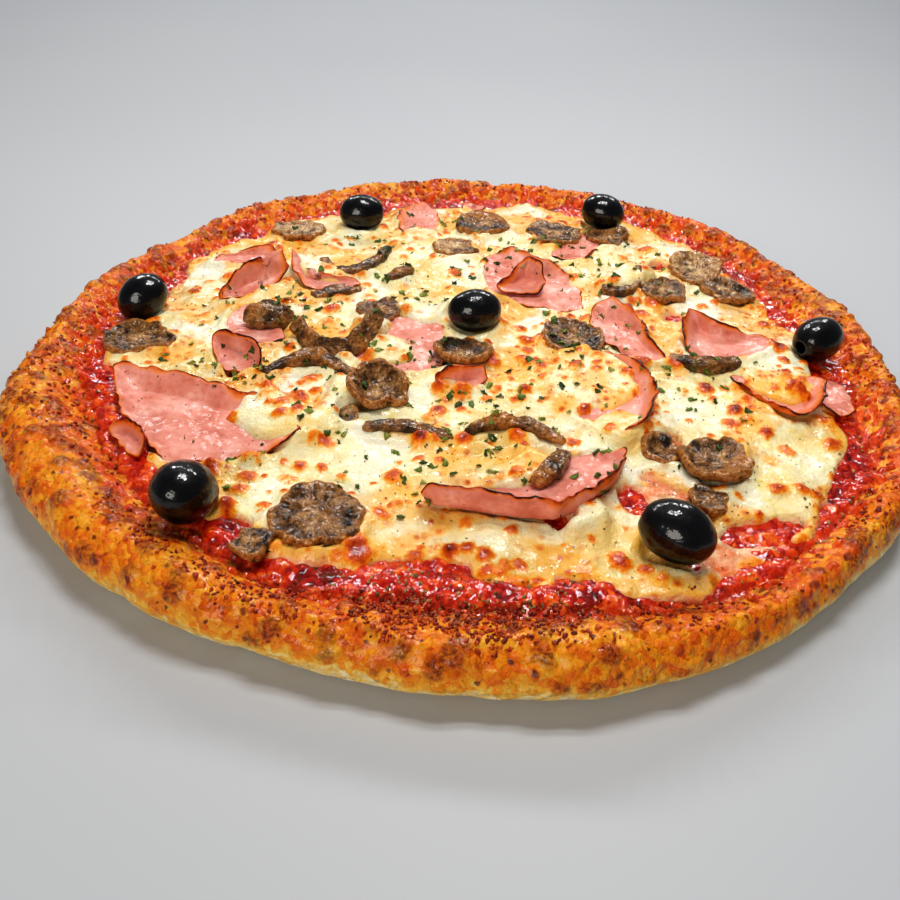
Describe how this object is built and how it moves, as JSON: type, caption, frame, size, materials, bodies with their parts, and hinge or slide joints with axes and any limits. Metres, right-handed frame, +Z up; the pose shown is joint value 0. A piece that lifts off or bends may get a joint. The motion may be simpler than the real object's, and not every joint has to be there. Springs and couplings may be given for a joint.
{
  "type": "ham and mushroom pizza",
  "caption": "Round baked pizza with a raised golden rim, tomato sauce, melted browned cheese, curled ham slices, mushroom slices and whole black olives. Rests on its flat underside.",
  "frame": {"origin": "on the flat underside, at the middle of the bounding box", "axes": "+Z up through the toppings, -Y towards the front edge that the picture shows nearest, +X to the right seen from the front"},
  "size_m": [0.2988, 0.3022, 0.0299],
  "materials": {
    "crust": "golden baked dough, mottled brown, matt with a little oil on the rim",
    "sauce": "wet coarse tomato sauce",
    "cheese": "melted mozzarella with orange-brown blisters, slightly oily",
    "ham": "moist pink cooked ham with browned and charred edges",
    "mushroom": "baked champignon slices, grey-brown and wet",
    "olive": "polished black olive skin"
  },
  "bodies": {
    "root": {"crust": "crust", "tomato_sauce": "sauce", "cheese": "cheese", "olive_back_left": "olive", "olive_back_right": "olive", "olive_centre": "olive", "olive_front_left": "olive", "olive_front_right": "olive", "olive_left": "olive", "olive_right": "olive", "ham_back_bit": "ham", "ham_back_left": "ham", "ham_back_left_strip": "ham", "ham_back_left_tail": "ham", "ham_back_oval": "ham", "ham_back_right": "ham", "ham_back_right_curl": "ham", "ham_back_right_patch": "ham", "ham_centre_right": "ham", "ham_far_right": "ham", "ham_front_curl": "ham", "ham_front_left": "ham", "ham_front_left_flap": "ham", "ham_left_curl": "ham", "ham_left_slice": "ham", "ham_middle": "ham", "ham_middle_curl": "ham", "ham_right": "ham", "ham_right_folded": "ham", "ham_right_patch": "ham", "mushroom_back_cap": "mushroom", "mushroom_back_hook": "mushroom", "mushroom_back_left": "mushroom", "mushroom_back_left_bit": "mushroom", "mushroom_back_olive": "mushroom", "mushroom_back_pale": "mushroom", "mushroom_back_slice": "mushroom", "mushroom_boat": "mushroom", "mushroom_boat_cap": "mushroom", "mushroom_buried_curl": "mushroom", "mushroom_buried_edge": "mushroom", "mushroom_buried_tip": "mushroom", "mushroom_dark_wave": "mushroom", "mushroom_front_bit": "mushroom", "mushroom_front_left": "mushroom", "mushroom_front_right": "mushroom", "mushroom_front_right_bit": "mushroom", "mushroom_front_right_crumb": "mushroom", "mushroom_left": "mushroom", "mushroom_left_bits": "mushroom", "mushroom_middle": "mushroom", "mushroom_middle_bit": "mushroom", "mushroom_right": "mushroom", "mushroom_right_edge": "mushroom", "mushroom_right_inner": "mushroom", "mushroom_right_outer": "mushroom", "mushroom_right_pale": "mushroom", "mushroom_rim_pale": "mushroom", "mushroom_ring": "mushroom", "mushroom_rolled": "mushroom"}
  },
  "joints": []
}
